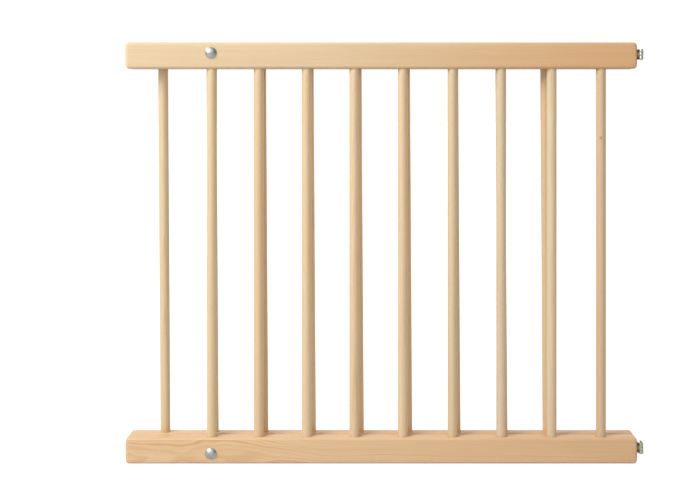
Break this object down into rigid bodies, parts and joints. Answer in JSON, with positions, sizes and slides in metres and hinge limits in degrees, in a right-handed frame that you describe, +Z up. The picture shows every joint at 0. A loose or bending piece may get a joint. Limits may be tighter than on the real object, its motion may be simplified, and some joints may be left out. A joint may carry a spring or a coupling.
{
  "type": "baby safety gate",
  "caption": "Extending wooden baby gate: slatted panels back to back, clamped by bolts and wing nuts through slots, hinged at one end and latched at the other.",
  "frame": {"origin": "under the middle of the front bottom rail, on the floor, half way through that rail's thickness", "axes": "+X along the rails towards the hinges, +Y from the front panel to the rear panel, +Z up along the bars"},
  "size_m": [0.7282, 0.0671, 0.592],
  "materials": {
    "rail_wood": "satin clear-lacquered pine, sanded, rounded edges",
    "bar_wood": "satin clear-lacquered pine dowel",
    "bolt_steel": "bright zinc plating",
    "hinge_steel": "zinc plating, slightly dulled",
    "latch_steel": "zinc plating"
  },
  "bodies": {
    "front_panel": {"front_top_rail": "rail_wood", "front_bottom_rail": "rail_wood", "front_bar_1": "bar_wood", "front_bar_2": "bar_wood", "front_bar_3": "bar_wood", "front_bar_4": "bar_wood", "front_bar_5": "bar_wood", "front_bar_6": "bar_wood", "front_bar_7": "bar_wood", "front_bar_8": "bar_wood", "front_bar_9": "bar_wood", "top_bolt": "bolt_steel", "bottom_bolt": "bolt_steel", "top_hinge_rail_leaf": "hinge_steel", "top_hinge_pin": "hinge_steel", "top_hinge_screw_1": "hinge_steel", "top_hinge_screw_2": "hinge_steel", "bottom_hinge_rail_leaf": "hinge_steel", "bottom_hinge_pin": "hinge_steel", "bottom_hinge_screw_1": "hinge_steel", "bottom_hinge_screw_2": "hinge_steel"},
    "rear_panel": {"rear_top_rail": "rail_wood", "rear_bottom_rail": "rail_wood", "rear_bar_1": "bar_wood", "rear_bar_2": "bar_wood", "rear_bar_3": "bar_wood", "rear_bar_4": "bar_wood", "rear_bar_5": "bar_wood", "rear_bar_6": "bar_wood", "rear_bar_7": "bar_wood", "rear_bar_8": "bar_wood", "rear_bar_9": "bar_wood", "latch_plate": "latch_steel", "latch_screw_1": "latch_steel", "latch_screw_2": "latch_steel", "latch_screw_3": "latch_steel", "latch_screw_4": "latch_steel"},
    "top_washer": {"top_washer": "bolt_steel"},
    "top_wing_nut": {"top_wing_nut": "bolt_steel"},
    "bottom_washer": {"bottom_washer": "bolt_steel"},
    "bottom_wing_nut": {"bottom_wing_nut": "bolt_steel"},
    "top_hinge_wall_leaf": {"top_hinge_wall_leaf": "hinge_steel"},
    "bottom_hinge_wall_leaf": {"bottom_hinge_wall_leaf": "hinge_steel"},
    "latch_rod": {"latch_rod": "latch_steel", "latch_knob": "latch_steel"}
  },
  "joints": [
    {"name": "panel_slide", "type": "slide", "parent": "front_panel", "child": "rear_panel", "axis": [-1, 0, 0], "range_m": [0, 0.5]},
    {"name": "top_washer_slide", "type": "slide", "parent": "front_panel", "child": "top_washer", "axis": [0, 1, 0], "range_m": [0, 0.003]},
    {"name": "top_wing_nut_turn", "type": "hinge", "parent": "top_washer", "child": "top_wing_nut", "pos_m": [-0.239, 0.0328, 0.577], "axis": [0, 1, 0], "range_deg": [0, 1080]},
    {"name": "bottom_washer_slide", "type": "slide", "parent": "front_panel", "child": "bottom_washer", "axis": [0, 1, 0], "range_m": [0, 0.003]},
    {"name": "bottom_wing_nut_turn", "type": "hinge", "parent": "bottom_washer", "child": "bottom_wing_nut", "pos_m": [-0.239, 0.0328, 0.015], "axis": [0, 1, 0], "range_deg": [0, 1080]},
    {"name": "top_hinge_turn", "type": "hinge", "parent": "front_panel", "child": "top_hinge_wall_leaf", "pos_m": [0.3652, -0.007, 0.575], "axis": [0, 0, -1], "range_deg": [0, 180]},
    {"name": "bottom_hinge_turn", "type": "hinge", "parent": "front_panel", "child": "bottom_hinge_wall_leaf", "pos_m": [0.3652, -0.007, 0.0215], "axis": [0, 0, -1], "range_deg": [0, 180]},
    {"name": "latch_slide", "type": "slide", "parent": "rear_panel", "child": "latch_rod", "axis": [-1, 0, 0], "range_m": [0, 0.018]}
  ],
  "couplings": [
    {"joint": "top_washer_slide", "follows": "top_wing_nut_turn", "m_per_rad": 0.00015915},
    {"joint": "bottom_washer_slide", "follows": "bottom_wing_nut_turn", "m_per_rad": 0.00015915},
    {"joint": "bottom_hinge_turn", "follows": "top_hinge_turn", "ratio": 1}
  ]
}
